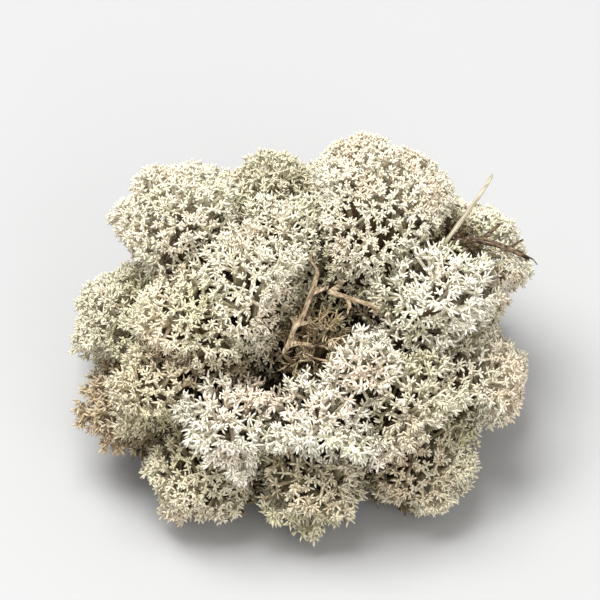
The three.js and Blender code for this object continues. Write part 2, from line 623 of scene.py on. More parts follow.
@dataclass
class Twigs:
    """Closed, tapering twigs that are collected and then made into one mesh.

    Args:
        points: the points of each set of twigs.
        places: the place of each point on the growth map.
        corners: numbers of the points at the corners of the faces, face by face.
        sizes: number of corners of each face.
        count: number of points so far.
        blunt: length of a blunt end, as a share of its radius.
    """

    points: list[np.ndarray] = field(default_factory=list)
    places: list[np.ndarray] = field(default_factory=list)
    corners: list[np.ndarray] = field(default_factory=list)
    sizes: list[np.ndarray] = field(default_factory=list)
    count: int = 0
    blunt: float = 0.7

    def add(
        self,
        path: np.ndarray,
        radii: np.ndarray,
        ages: np.ndarray,
        tints: np.ndarray,
        sides: int,
        rng: np.random.Generator,
        pointed: bool = False,
    ) -> None:
        """Adds a set of twigs that have the same number of rings and sides.

        Args:
            path: points along each twig, shaped (twigs, points, 3).
            radii: radius at each point, shaped (twigs, points).
            ages: distance from the tips at each point, with painted shade added to it, shaped (twigs,
                points).
            tints: tint of each twig, from 0 to 1.
            sides: sides of a twig's section.
            rng: source of the random turn of each twig.
            pointed: whether the last point of the path is the twig's sharp end.
        """
        if len(radii) == 0:
            return
        along = unit(np.gradient(path, axis=1))
        if pointed:
            end = path[:, -1]
            path, radii, along = path[:, :-1], radii[:, :-1], along[:, :-1]
        else:
            end = path[:, -1] + along[:, -1] * radii[:, -1:] * self.blunt
        twigs, rings = radii.shape
        self.points.append(self.walls(path, radii, along, end, sides, rng))
        self.places.append(self.on_growth_map(ages[:, :rings], ages[:, -1:], tints, sides))
        self.add_faces(twigs, rings, sides)

    @staticmethod
    def walls(
        path: np.ndarray,
        radii: np.ndarray,
        along: np.ndarray,
        end: np.ndarray,
        sides: int,
        rng: np.random.Generator,
    ) -> np.ndarray:
        """Sets a ring round each point of the paths, and the end after the last ring.

        Args:
            path: middle of each ring, shaped (twigs, rings, 3).
            radii: radius of each ring.
            along: direction of the twig at each ring.
            end: end of each twig.
            sides: points in a ring.
            rng: source of the random turn of each twig.

        Returns:
            The points of all the twigs, none of them lower than the resting face.
        """
        side = rng.normal(size=(len(path), 1, 3))
        side = unit(side - (side * along).sum(2, keepdims=True) * along)
        other = np.cross(along, side)
        turn = (2 * np.pi * np.arange(sides) / sides)[None, None, :, None]
        circle = np.cos(turn) * side[:, :, None, :] + np.sin(turn) * other[:, :, None, :]
        rings = path[:, :, None, :] + radii[:, :, None, None] * circle
        points = np.concatenate([rings.reshape(len(path), -1, 3), end[:, None, :]], axis=1)
        points[:, :, 2] = np.maximum(points[:, :, 2], 0.0)
        return points.reshape(-1, 3)

    @staticmethod
    def on_growth_map(ages: np.ndarray, end_ages: np.ndarray, tints: np.ndarray, sides: int) -> np.ndarray:
        """Places the points of the twigs on the growth map.

        Args:
            ages: age at each ring, shaped (twigs, rings).
            end_ages: age at each end, shaped (twigs, 1).
            tints: tint of each twig.
            sides: points in a ring.

        Returns:
            The place of each point.
        """
        across = ages / (ages + AGE_HALF)
        end_across = end_ages / (end_ages + AGE_HALF)
        wave = np.abs(2.0 * np.arange(sides) / sides - 1.0) * TINT_WIDTH
        band = tints[:, None] * (1 - TINT_WIDTH)
        round_band = band + np.tile(wave, ages.shape[1])[None, :]
        u = np.concatenate([np.repeat(across, sides, axis=1), end_across], axis=1)
        v = np.concatenate([round_band, band + TINT_WIDTH / 2], axis=1)
        return np.stack([u.ravel(), v.ravel()], 1)

    def add_faces(self, twigs: int, rings: int, sides: int) -> None:
        """Adds the walls, the pointed end and the flat base of each of the newest twigs.

        Args:
            twigs: number of twigs.
            rings: rings along each.
            sides: points in a ring.
        """
        points = rings * sides + 1
        first = (self.count + points * np.arange(twigs))[:, None]
        ring, side = np.meshgrid(np.arange(rings - 1), np.arange(sides), indexing="ij")
        here = (ring * sides + side).ravel()
        beside = (ring * sides + (side + 1) % sides).ravel()
        quads = np.stack([here, beside, beside + sides, here + sides], 1).ravel()
        base = np.arange(sides)
        last = (rings - 1) * sides
        fans = np.stack([last + base, last + (base + 1) % sides, np.full(sides, points - 1)], 1).ravel()
        pattern = np.concatenate([quads, fans, base[::-1]])
        lengths = np.concatenate([np.full((rings - 1) * sides, 4), np.full(sides, 3), [sides]])
        self.corners.append((first + pattern[None, :]).ravel())
        self.sizes.append(np.tile(lengths, twigs))
        self.count += twigs * points

    def mesh(self, name: str) -> bpy.types.Mesh:
        """Makes one mesh of all the twigs.

        Args:
            name: name of the mesh.

        Returns:
            The mesh, smooth shaded, with the growth map.
        """
        points = np.concatenate(self.points)
        corners = np.concatenate(self.corners)
        sizes = np.concatenate(self.sizes)
        places = np.concatenate(self.places)[corners]
        mesh = bpy.data.meshes.new(name)
        mesh.vertices.add(len(points))
        mesh.vertices.foreach_set("co", points.ravel())
        mesh.loops.add(len(corners))
        mesh.loops.foreach_set("vertex_index", corners.astype(np.int32))
        mesh.polygons.add(len(sizes))
        starts = np.concatenate([[0], np.cumsum(sizes)[:-1]]).astype(np.int32)
        mesh.polygons.foreach_set("loop_start", starts)
        mesh.update(calc_edges=True)
        mesh.validate()
        mesh.shade_smooth()
        layer = mesh.uv_layers.new(name=GROWTH_MAP)
        layer.uv.foreach_set("vector", places.astype(np.float32).ravel())
        return mesh


@dataclass(frozen=True)
class RotAndShade:
    """Litter round which the tips are darkened, partly as they wither under it and partly as painted shade of
    the gap that it lies in.

    Args:
        nodes: the pieces of litter.
        reach: how far away from it the tips are still darkened.
        age: age that it adds to the tips that touch it.
    """

    nodes: tuple[str, ...]
    reach: float
    age: float


# litter that darkens the lichen round it: partly withering, partly painted shade of the gaps round the litter
ROT_AND_SHADE = (
    RotAndShade(("dead_stalk_long", "dead_stalk_short"), reach=3.2 * MM, age=5.0 * MM),
    RotAndShade(("dark_twig_long", "dark_twig_short"), reach=3.6 * MM, age=13.0 * MM),
)


@dataclass
class Thicket:
    """The solids of all the plants and of the litter, to tell how close and how hidden a spot is.

    Args:
        nodes: names of the plants.
        rot: the litter round which the tips wither and painted shade darkens them.
        rays: number of directions in which a spot looks at the sky.
        sight: how far it looks.
        start_gap: how far over the spot the looks start.
        low_sky: light that comes from all round, where straight above adds 1 to it.
        least_weight: directions that count less than this are left out.
    """

    nodes: tuple[str, ...]
    rot: tuple[RotAndShade, ...]
    rays: int = 40
    sight: float = 30.0 * MM
    start_gap: float = 0.5 * MM
    low_sky: float = 0.35
    least_weight: float = 0.1

    def __post_init__(self) -> None:
        """Reads the solids and spreads the directions of sight over a sphere."""
        self.whole = self.tree(self.nodes)
        self.rot_and_shade_trees = [self.tree(rot.nodes) for rot in self.rot]
        step = np.arange(self.rays) + 0.5
        height = 1 - 2 * step / self.rays
        turn = np.pi * (1 + 5**0.5) * step
        flat = np.sqrt(1 - height**2)
        self.directions = np.stack([np.cos(turn) * flat, np.sin(turn) * flat, height], 1)

    @staticmethod
    def tree(nodes: tuple[str, ...]) -> BVHTree:
        """Puts some of the solids into one search tree.

        Args:
            nodes: names of the solids.

        Returns:
            The search tree.
        """
        points: list = []
        faces: list = []
        for node in nodes:
            start = len(points)
            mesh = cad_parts[node].data
            points.extend(vertex.co[:] for vertex in mesh.vertices)
            faces.extend(tuple(start + i for i in polygon.vertices) for polygon in mesh.polygons)
        return BVHTree.FromPolygons(points, faces)

    def without(self, node: str) -> BVHTree:
        """A search tree of all the plants but one."""
        return self.tree(tuple(other for other in self.nodes if other != node))

    def withering_and_shade(self, points: np.ndarray) -> np.ndarray:
        """Age that the litter adds to tips at the given points, partly for withering and partly as painted
        shade.

        Args:
            points: where the tips are.

        Returns:
            The age at each point.
        """
        out = np.zeros(len(points))
        for rot, tree in zip(self.rot, self.rot_and_shade_trees):
            for i, point in enumerate(points):
                distance = tree.find_nearest(Vector(point), rot.reach)[3]
                if distance is not None:
                    out[i] = max(out[i], rot.age * (1 - distance / rot.reach))
        return out

    def openness(self, points: np.ndarray, facing: np.ndarray) -> np.ndarray:
        """Share of the sky that is seen from each point, from 0 to 1.

        Args:
            points: points on the solids.
            facing: the way the surface faces at each point.

        Returns:
            The openness of each point.
        """
        out = np.empty(len(points))
        sky = self.low_sky + np.maximum(self.directions[:, 2], 0)
        for i, (point, way) in enumerate(zip(points, facing)):
            weights = np.maximum(self.directions @ way, 0) * sky
            start = Vector(point + way * self.start_gap)
            seen = total = 0.0
            for direction, weight in zip(self.directions, weights):
                if weight > self.least_weight:
                    total += weight
                    if self.whole.ray_cast(start, Vector(direction), self.sight)[0] is None:
                        seen += weight
            out[i] = seen / max(total, TINY)
        return out


@dataclass(frozen=True)
class Plant:
    """What one plant is called, how it branches, and its finish.

    Args:
        node: name of the plant.
        habit: how its crown is branched.
        finish: its finish.
        tone: shift of its tint, from olive below zero to rosy above.
        fade: age that all its tips have on top of their own.
    """

    node: str
    habit: Habit
    finish: Finish
    tone: float = 0.0
    fade: float = 0.0


@dataclass
class Solid:
    """The frame's solid of one plant, and the round crown at its top.

    Args:
        node: name of the plant.
        outward: how squarely a face has to turn away from the root to be part of the crown, from 0 to 1.
        widest: percentile of the distances from the axis that is taken as the crown's radius.
    """

    node: str
    outward: float = 0.3
    widest: float = 90

    def __post_init__(self) -> None:
        """Reads the solid, and finds the axis, the radius and the middle of its crown."""
        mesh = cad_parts[self.node].data
        mesh.calc_loop_triangles()
        vertices = np.array([vertex.co[:] for vertex in mesh.vertices])
        triangles = np.array([triangle.vertices[:] for triangle in mesh.loop_triangles])
        self.corners = vertices[triangles]
        self.edges = self.corners[:, 1:] - self.corners[:, :1]
        self.across = np.cross(self.edges[:, 0], self.edges[:, 1])
        middles = self.corners.mean(1) - ROOT
        turned = (unit(self.across) * unit(middles)).sum(1)
        crown = np.linalg.norm(self.across, axis=1) * (turned > self.outward)
        self.axis = unit((middles * crown[:, None]).sum(0) / crown.sum())
        along, wide = self.place(vertices)
        self.radius = np.percentile(wide, self.widest)
        self.centre_reach = along.max() - self.radius

    def place(self, points: np.ndarray) -> tuple[np.ndarray, np.ndarray]:
        """How far points lie from the root along the axis, and how far from the axis."""
        along = (points - ROOT) @ self.axis
        return along, np.linalg.norm(points - ROOT - along[:, None] * self.axis, axis=1)

    def scattered(
        self,
        side: float,
        number: float,
        rng: np.random.Generator,
    ) -> tuple[np.ndarray, np.ndarray]:
        """Scatters random points over the surface.

        Args:
            side: length of the sides of a square.
            number: how many points fall on a square of that size.
            rng: source of the random places.

        Returns:
            The points, and the way the surface faces at each.
        """
        area = np.linalg.norm(self.across, axis=1) / 2
        count = int(area.sum() / side**2 * number)
        face = rng.choice(len(area), count, p=area / area.sum())
        a, b = rng.random((2, count, 1))
        flip = a + b > 1
        a, b = np.where(flip, 1 - a, a), np.where(flip, 1 - b, b)
        points = self.corners[face, 0] + a * self.edges[face, 0] + b * self.edges[face, 1]
        return points, unit(self.across)[face]


@dataclass
class Growth:
    """One plant while it grows.

    Args:
        solid: the solid that it fills.
        sizes: the sizes of its twigs.
        rng: source of its random numbers.
        twigs: the twigs that it has so far.
    """

    solid: Solid
    sizes: Branching
    rng: np.random.Generator
    twigs: Twigs = field(default_factory=Twigs)


@dataclass
class Level:
    """Branch ends that are the same number of forks away from the tips.

    Args:
        at: where each one is.
        facing: the way each one faces.
        tint: tint of each, from 0 to 1.
        age: distance of each from its tips, with painted shade added to it.
        radius: radius of each.
    """

    at: np.ndarray
    facing: np.ndarray
    tint: np.ndarray
    age: np.ndarray
    radius: np.ndarray


@dataclass
class Spots:
    """Places on the outside of a crown where whorls can grow.

    Args:
        at: where each one is.
        facing: the way the crown faces there.
        away: distance from the nearest other plant.
        depth: depth in a crease between two plants.
        shade: share of the sky that is hidden.
        sunk: depth in a crease between two knobs.
        low: how low each lies on the plant, from 0 to 1.
    """

    at: np.ndarray
    facing: np.ndarray
    away: np.ndarray
    depth: np.ndarray
    shade: np.ndarray
    sunk: np.ndarray
    low: np.ndarray

    def chosen(self, index: np.ndarray) -> "Spots":
        """The spots with the given numbers."""
        return Spots(*(getattr(self, item.name)[index] for item in fields(self)))


@dataclass(frozen=True)
class Tinting:
    """How the tint changes from whorl to whorl, in patches and by chance, with painted shade that turns
    shaded whorls more olive.

    Args:
        middle: tint of a whorl where nothing changes it.
        patch_size: size of the broad patches.
        patch_change: how much they change the tint.
        patch_start: where the pattern of the patches starts.
        spot_size: size of the small spots.
        spot_change: how much they change the tint.
        chance: random change.
        shade_change: how much the tint falls from no shade to full shade, as painted shade.
        even_shade: shade that leaves the tint as it is.
    """

    middle: float = 0.46
    patch_size: float = 9 * MM
    patch_change: float = 0.8
    patch_start: Triple = (3.1, 7.7, 1.3)
    spot_size: float = 3 * MM
    spot_change: float = 0.3
    chance: float = 0.06
    shade_change: float = 0.3
    even_shade: float = 0.4

    def tint(self, point: np.ndarray, tone: float, rng: np.random.Generator) -> float:
        """The tint at one point in even shade.

        Args:
            point: the point.
            tone: shift of the plant's tint.
            rng: source of the random change.

        Returns:
            The tint, from 0 to 1.
        """
        patch = noise.noise(Vector(point / self.patch_size) + Vector(self.patch_start))
        spot = noise.noise(Vector(point / self.spot_size))
        tint = self.middle + tone + self.patch_change * patch + self.spot_change * spot
        return float(np.clip(tint + rng.normal(0, self.chance), 0, 1))

    def tints(
        self,
        points: np.ndarray,
        shade: np.ndarray,
        tone: float,
        rng: np.random.Generator,
    ) -> np.ndarray:
        """The tints of all the whorls of a plant.

        Args:
            points: where the whorls are.
            shade: shade of each.
            tone: shift of the plant's tint.
            rng: source of the random change.

        Returns:
            The tints, from 0 to 1.
        """
        even = np.array([self.tint(point, tone, rng) for point in points])
        # painted shade: the tint of shaded whorls is lowered towards olive
        return np.clip(even - self.shade_change * (shade - self.even_shade), 0, 1)


@dataclass(frozen=True)
class AgeingAndPaintedShade:
    """How the place of a whorl darkens its tips by adding age: shade and the creases add painted shade, and
    the foot adds age partly for its dead base and partly as painted shade.

    Args:
        shade: age that full shade adds, as painted shade.
        light_shade: shade up to which nothing is added.
        shade_power: how suddenly the age rises with the shade above that.
        shade_full: what the shade above that, raised to that power, comes to in full shade.
        low: age that the foot of the plant adds, partly for its dead base and partly as painted shade in the
            low gaps.
        low_power: how suddenly the age rises towards the foot.
        painted_crease_shade: share of the depth in a crease between two plants that is added as age, as
            painted shade.
        sunk: share of the depth in a crease between two knobs that is added as age, as painted shade.
    """

    shade: float = 3.5 * MM
    light_shade: float = 0.3
    shade_power: float = 1.2
    shade_full: float = 0.65
    low: float = 4.0 * MM
    low_power: float = 1.3
    painted_crease_shade: float = 0.55
    sunk: float = 0.3

    def ages(self, spots: Spots, fade: float) -> np.ndarray:
        """The age that the place of each whorl adds to its tips, which darkens them, mostly as painted shade.

        Args:
            spots: the places of the whorls.
            fade: age that all the tips of the plant have on top.

        Returns:
            The ages.
        """
        # painted shade: full shade, the creases between plants and between knobs, and partly the foot add age
        # that darkens the tips
        age = self.shade * np.clip(spots.shade - self.light_shade, 0, 1) ** self.shade_power / self.shade_full
        age += self.low * spots.low**self.low_power + self.painted_crease_shade * spots.depth + self.sunk * spots.sunk + fade
        return age


@dataclass
class Crown:
    """The free outside of one plant, where whorls are spread.

    Args:
        plant: the plant.
        growth: the plant while it grows.
        samples: spots that are tried for each whorl.
        floor_gap: nothing grows lower than this.
        touching: nearer than this to another plant, a spot lies in a crease.
        crease_reach: how far branchlets go down into a crease.
        facing_samples: spots from which the way that the crown faces is averaged.
        facing_reach: width of that average.
        shade_samples: spots that look at the sky.
        shade_reach: width of the average of what they see.
        meeting: how far from its neighbours a crown begins to rise towards them.
        meeting_power: how suddenly it rises.
        lift: how far it has risen where it meets them.
        turn_out: how much it turns away from the root there.
        rim: width of the creases between the knobs, as a share of the gap between the knobs.
        low_start: where along the axis a plant begins to be low, as a share of the way to the crown's middle.
        low_span: how much lower it is low altogether.
        deep_gap: growth of the gap between whorls for each millimetre down a crease.
        shaded_gap: growth of that gap in full shade.
        low_gap: growth of that gap at the foot of the plant.
        pit_range: smallest and largest radius of a pit, as a share of the usual one.
        group_gap: distance between groups of whorls, as a share of the gap between whorls.
        node_radius: radius of a whorl's node, as a share of a tip's radius.
        tinting: how the tint changes from whorl to whorl.
        ageing_and_shade: how the place of a whorl ages its tips and paints shade on them.
    """

    plant: Plant
    growth: Growth
    samples: float = 7.0
    floor_gap: float = 1.2 * MM
    touching: float = 0.7 * MM
    crease_reach: float = 3.6 * MM
    facing_samples: int = 900
    facing_reach: float = 2.2 * MM
    shade_samples: int = 240
    shade_reach: float = 1.6 * MM
    meeting: float = 4.0 * MM
    meeting_power: float = 1.5
    lift: float = 0.6 * MM
    turn_out: float = 2.0
    rim: float = 0.75
    low_start: float = 0.92
    low_span: float = 0.5
    deep_gap: float = 0.16
    shaded_gap: float = 0.35
    low_gap: float = 0.3
    pit_range: Range = (0.55, 1.2)
    group_gap: float = 1.9
    node_radius: float = 1.25
    tinting: Tinting = Tinting()
    ageing_and_shade: AgeingAndPaintedShade = AgeingAndPaintedShade()

    def whorls(self, thicket: Thicket) -> Level:
        """Spreads whorls over the free outside of the plant and into its creases.

        Args:
            thicket: the solids of all the plants.

        Returns:
            The level of whorls.
        """
        sizes, rng = self.growth.sizes, self.growth.rng
        spots = self.outside(thicket)
        self.rise_to_neighbours(spots)
        self.sink_between_knobs(spots)
        spots = self.picked(spots)
        groups = spots.at[thinned(spots.at, sizes.whorl_gap * self.group_gap, rng)]
        centre = groups[nearest(spots.at, groups)]
        points = spots.at + (centre - spots.at) * sizes.huddle
        tint = self.tinting.tints(points, spots.shade, self.plant.tone, rng)
        # this age carries painted shade from the place of each whorl and from the litter round it, besides
        # withering
        age = self.ageing_and_shade.ages(spots, self.plant.fade) + thicket.withering_and_shade(points)
        facing = unit(spots.facing + rng.normal(0, sizes.lean, points.shape))
        rise = sizes.tip_rise + rng.normal(0, sizes.ragged, len(points))[:, None]
        radius = np.full(len(points), sizes.tip_radius * self.node_radius)
        return Level(points - facing * rise, facing, tint, age + sizes.tip_rise * TIP_LENGTH, radius)

    def outside(self, thicket: Thicket) -> Spots:
        """Finds the free outside of the plant and the creases between it and its neighbours.

        The points of the surface that lie deeper are kept as hidden.

        Args:
            thicket: the solids of all the plants.

        Returns:
            The spots where whorls can grow.
        """
        rng = self.growth.rng
        points, facing = self.growth.solid.scattered(self.growth.sizes.whorl_gap, self.samples, rng)
        above = points[:, 2] > self.floor_gap
        points, facing = points[above], facing[above]
        others = thicket.without(self.plant.node)
        found = [others.find_nearest(Vector(point), self.meeting)[3] for point in points]
        away = np.array([self.meeting if distance is None else distance for distance in found])
        buried = away < self.touching
        free, free_facing = points[~buried], facing[~buried]
        depth = np.zeros(len(points))
        for i in np.flatnonzero(buried):
            depth[i] = math.sqrt(((free - points[i]) ** 2).sum(1).min())
        keep = depth < self.crease_reach
        self.hidden = points[~keep]
        points, depth, away = points[keep], depth[keep], away[keep]
        few = rng.permutation(len(free))[: self.facing_samples]
        facing = unit(spread_over(free[few], free_facing[few], points, self.facing_reach))
        few = few[: self.shade_samples]
        few_facing = unit(spread_over(free, free_facing, free[few], self.facing_reach))
        openness = thicket.openness(free[few], few_facing)[:, None]
        shade = 1 - spread_over(free[few], openness, points, self.shade_reach)[:, 0]
        none = np.zeros(len(points))
        return Spots(points, facing, away, depth, shade, sunk=none, low=none)

    def rise_to_neighbours(self, spots: Spots) -> None:
        """Lifts the crown a little where it meets its neighbours, so that no groove shows there.

        Args:
            spots: the spots, which are moved and turned.
        """
        near = (1 - spots.away / self.meeting)[:, None] ** self.meeting_power
        outward = unit(spots.at - ROOT)
        spots.at = spots.at + outward * near * self.lift
        spots.facing = unit(spots.facing + outward * near * self.turn_out)

    def sink_between_knobs(self, spots: Spots) -> None:
        """Sinks the creases between the knobs that the crown is made of.

        Args:
            spots: the spots, which are moved.
        """
        sizes = self.growth.sizes
        knobs = spots.at[thinned(spots.at, sizes.knob_gap, self.growth.rng)]
        apart = np.sort(((spots.at[:, None] - knobs[None]) ** 2).sum(2) ** 0.5, axis=1)
        edge = np.clip((apart[:, 1] - apart[:, 0]) / (self.rim * sizes.knob_gap), 0, 1)
        spots.sunk = sizes.knob_depth * (1 - edge) ** 2
        spots.at = spots.at - spots.facing * spots.sunk[:, None]

    def picked(self, spots: Spots) -> Spots:
        """Picks one spot for each whorl, farther apart in dark places, and leaves pits open.

        Args:
            spots: the spots where whorls can grow.

        Returns:
            The spots of the whorls.
        """
        sizes, rng = self.growth.sizes, self.growth.rng
        along, _ = self.growth.solid.place(spots.at)
        spots.low = np.clip((self.low_start - along / self.growth.solid.centre_reach) / self.low_span, 0, 1)
        gap = sizes.whorl_gap * (
            1
            + self.deep_gap * spots.depth / MM
            + self.shaded_gap * spots.shade**3
            + self.low_gap * spots.low
        )
        pits = spots.at[thinned(spots.at, sizes.pit_gap, rng)]
        into = np.sqrt(((spots.at[:, None] - pits[None]) ** 2).sum(2))
        wide = sizes.pit_radius * rng.uniform(*self.pit_range, len(pits))
        ground = np.flatnonzero((into > wide).all(1) | (spots.depth > 0))
        return spots.chosen(ground[thinned(spots.at[ground], gap[ground], rng)])


@dataclass(frozen=True)
class TipStar:
    """The pointed tips that stand round the middle of each whorl.

    Args:
        turn: random turn of a tip round its whorl, in radians.
        opening: least and most opening of a whorl, as a share of its spread.
        flat: opening at which a whorl would lie flat.
        length: least and most length of a tip, as a share of its size.
        apart: distance of a tip's base from the middle of its whorl.
        sunk: how far its base lies under the middle of its whorl.
        bend: place of its bend, as shares of its spread and of its rise.
        thickness: least and most thickness of a tip, as a share of its radius.
        taper: radius at its base, bend and end, as a share of its thickness.
        tint: random change of tint from tip to tip.
    """

    turn: float = 0.34
    opening: Range = (0.7, 1.2)
    flat: float = 1.9
    length: Range = (0.7, 1.3)
    apart: float = 0.08 * MM
    sunk: float = 0.05 * MM
    bend: Range = (0.78, 0.55)
    thickness: Range = (0.85, 1.15)
    taper: Triple = (1.1, 0.85, 0.0)
    tint: float = 0.05

    def grow(self, plant: Growth, whorls: Level) -> None:
        """Adds a star of tips at each whorl.

        Args:
            plant: the plant.
            whorls: its whorls.
        """
        sizes, rng = plant.sizes, plant.rng
        count = len(whorls.at)
        number = rng.integers(*sizes.tips, count, endpoint=True)
        owner = np.repeat(np.arange(count), number)
        rank = np.arange(len(owner)) - np.repeat(np.cumsum(number) - number, number)
        phase = rng.random(count) * 2 * np.pi
        turn = phase[owner] + 2 * np.pi * rank / number[owner] + rng.normal(0, self.turn, len(owner))
        at, facing = whorls.at[owner], whorls.facing[owner]
        side = unit(np.cross(facing, rng.normal(size=(count, 3))[owner]))
        other = np.cross(facing, side)
        outward = np.cos(turn)[:, None] * side + np.sin(turn)[:, None] * other
        opening = rng.uniform(*self.opening, count)[owner]
        length = rng.uniform(*self.length, len(owner))
        spread = (sizes.tip_spread * opening * length)[:, None]
        rise = (sizes.tip_rise * (self.flat - opening) * length)[:, None]
        base = at + outward * self.apart - facing * self.sunk
        bend = at + outward * spread * self.bend[0] + facing * rise * self.bend[1]
        end = at + outward * spread + facing * rise
        thick = sizes.tip_radius * rng.uniform(*self.thickness, len(owner))
        ages = whorls.age[owner][:, None] - sizes.tip_rise * TIP_LENGTH * np.array((0.0, 0.5, 1.0))
        tints = np.clip(whorls.tint[owner] + rng.normal(0, self.tint, len(owner)), 0, 1)
        path = np.stack([base, bend, end], 1)
        plant.twigs.add(path, thick[:, None] * self.taper, ages, tints, TIP_SIDES, rng, pointed=True)


@dataclass(frozen=True)
class SideTips:
    """Short tips that stand off the branches under the whorls.

    Args:
        number: least and greatest number under one whorl.
        reach: least and most reach, as a share of the gap between whorls.
        below: least and most distance under the whorl, as a share of the tips' rise.
        bend: place of a tip's bend outwards and upwards, as shares of its reach.
        rise: rise of its end, as a share of its reach.
        taper: radius at its base, bend and end, as a share of a tip's radius.
        ages: age at its base, bend and end, as a share of the whorl's age.
    """

    number: tuple[int, int] = (2, 3)
    reach: Range = (0.6, 0.95)
    below: Range = (0.7, 1.3)
    bend: Range = (0.7, 0.3)
    rise: float = 0.6
    taper: Triple = (1.0, 0.85, 0.0)
    ages: Triple = (1.3, 1.1, 0.9)

    def grow(self, plant: Growth, whorls: Level) -> None:
        """Adds side tips under each whorl.

        Args:
            plant: the plant.
            whorls: its whorls.
        """
        sizes, rng = plant.sizes, plant.rng
        count = len(whorls.at)
        owner = np.repeat(np.arange(count), rng.integers(*self.number, count, endpoint=True))
        facing = whorls.facing[owner]
        outward = rng.normal(size=facing.shape)
        outward = unit(outward - (outward * facing).sum(1, keepdims=True) * facing)
        reach = (sizes.whorl_gap * rng.uniform(*self.reach, len(owner)))[:, None]
        below = (sizes.tip_rise * rng.uniform(*self.below, len(owner)))[:, None]
        base = whorls.at[owner] - facing * below
        bend = base + outward * reach * self.bend[0] + facing * reach * self.bend[1]
        end = base + outward * reach + facing * reach * self.rise
        path = np.stack([base, bend, end], 1)
        radii = np.full((len(owner), 1), sizes.tip_radius) * self.taper
        ages = whorls.age[owner][:, None] * self.ages
        plant.twigs.add(path, radii, ages, whorls.tint[owner], TIP_SIDES, rng, pointed=True)


@dataclass(frozen=True)
class SharedBranches:
    """Branches that gather the ends of one level onto fewer and thicker ones.

    Args:
        wider: how much farther apart the branches of each level stand than those above them.
        descent: how far down the axis a branch aims, as a share of its distance from the axis.
        under: least depth of that aim under the crown's middle, as a share of the crown's radius.
        lowest: least distance of that aim from the root.
        stride: length of a branch, as a share of the gap, and most length as a share of the way to its aim.
        keeping: how much a branch lies straight behind the ends that it carries.
        stray: random shift of a branch, as a share of the gap.
        thicker: how much thicker a branch is than those that it carries.
        thickest: greatest radius of a branch.
        winding: length of a branch along its bends, as a share of its straight length.
        turning: how much a branch turns to face away from its aim.
        leaving: how much the branches that it carries leave it the way that it faces.
        taper: radius at the start, middle and end of a branch, as a share of its radius.
        sides: sides of its section.
    """

    wider: tuple[float, ...] = (1.9, 1.75, 1.7)
    descent: float = 0.7
    under: float = 0.2
    lowest: float = 14 * MM
    stride: float = 0.5
    keeping: float = 0.8
    stray: float = 0.06
    thicker: float = 1.27
    thickest: float = 0.75 * MM
    winding: float = 1.3
    turning: float = 0.5
    leaving: float = 0.5
    taper: Triple = (1.15, 0.95, 1.05)
    sides: int = 4

    def grow(self, plant: Growth, ends: Level) -> Level:
        """Gathers the ends onto one level of branches after the other.

        Args:
            plant: the plant.
            ends: its whorls.

        Returns:
            The last level of branches.
        """
        gap = plant.sizes.whorl_gap
        for wider in self.wider:
            gap *= wider
            ends = self.gathered(plant, ends, gap)
        return ends

    def gathered(self, plant: Growth, ends: Level, gap: float) -> Level:
        """Joins neighbouring ends onto shared branches.

        Args:
            plant: the plant.
            ends: the ends to join.
            gap: distance between the shared branches.

        Returns:
            The level of shared branches.
        """
        seeds = thinned(ends.at, gap, plant.rng)
        owner = nearest(ends.at, ends.at[seeds])
        mean = partial(averaged, owner=owner, groups=len(seeds))
        middle = mean(ends.at)
        facing = unit(mean(ends.facing))
        inward = self.aim(plant.solid, middle) - middle
        distance = np.linalg.norm(inward, axis=1, keepdims=True)
        step = np.minimum(gap * self.stride, distance * self.stride)
        direction = unit(unit(inward) - self.keeping * facing)
        at = middle + direction * step + plant.rng.normal(0, gap * self.stray, middle.shape)
        turned = unit(facing - self.turning * unit(inward))
        age = mean(ends.age) + step[:, 0] * self.winding
        radius = np.clip(mean(ends.radius) * self.thicker, 0, self.thickest)
        parents = Level(at, turned, mean(ends.tint), age, radius)
        self.join(plant, parents, ends, owner)
        return parents

    def aim(self, solid: Solid, points: np.ndarray) -> np.ndarray:
        """The spots on the axis that branches at the given points aim at.

        Args:
            solid: the solid of the plant.
            points: where the branches are.

        Returns:
            One spot for each point.
        """
        along, wide = solid.place(points)
        reach = np.minimum(along - self.descent * wide, solid.centre_reach - self.under * solid.radius)
        return ROOT + np.maximum(reach, self.lowest)[:, None] * solid.axis

    def join(self, plant: Growth, parents: Level, ends: Level, owner: np.ndarray) -> None:
        """Adds the branches from the shared ones to the ends that they carry.

        Args:
            plant: the plant.
            parents: the shared branches.
            ends: the ends.
            owner: the shared branch that carries each end.
        """
        start = parents.at[owner]
        leave = unit(unit(ends.at - start) + self.leaving * parents.facing[owner])
        path = bowed(start, leave, ends.at, ends.facing, len(self.taper))
        radii = ends.radius[:, None] * self.taper
        radii[:, 0] = np.minimum(radii[:, 0], parents.radius[owner])
        ages = np.stack([parents.age[owner], (parents.age[owner] + ends.age) / 2, ends.age], 1)
        plant.twigs.add(path, radii, ages, ends.tint, self.sides, plant.rng)


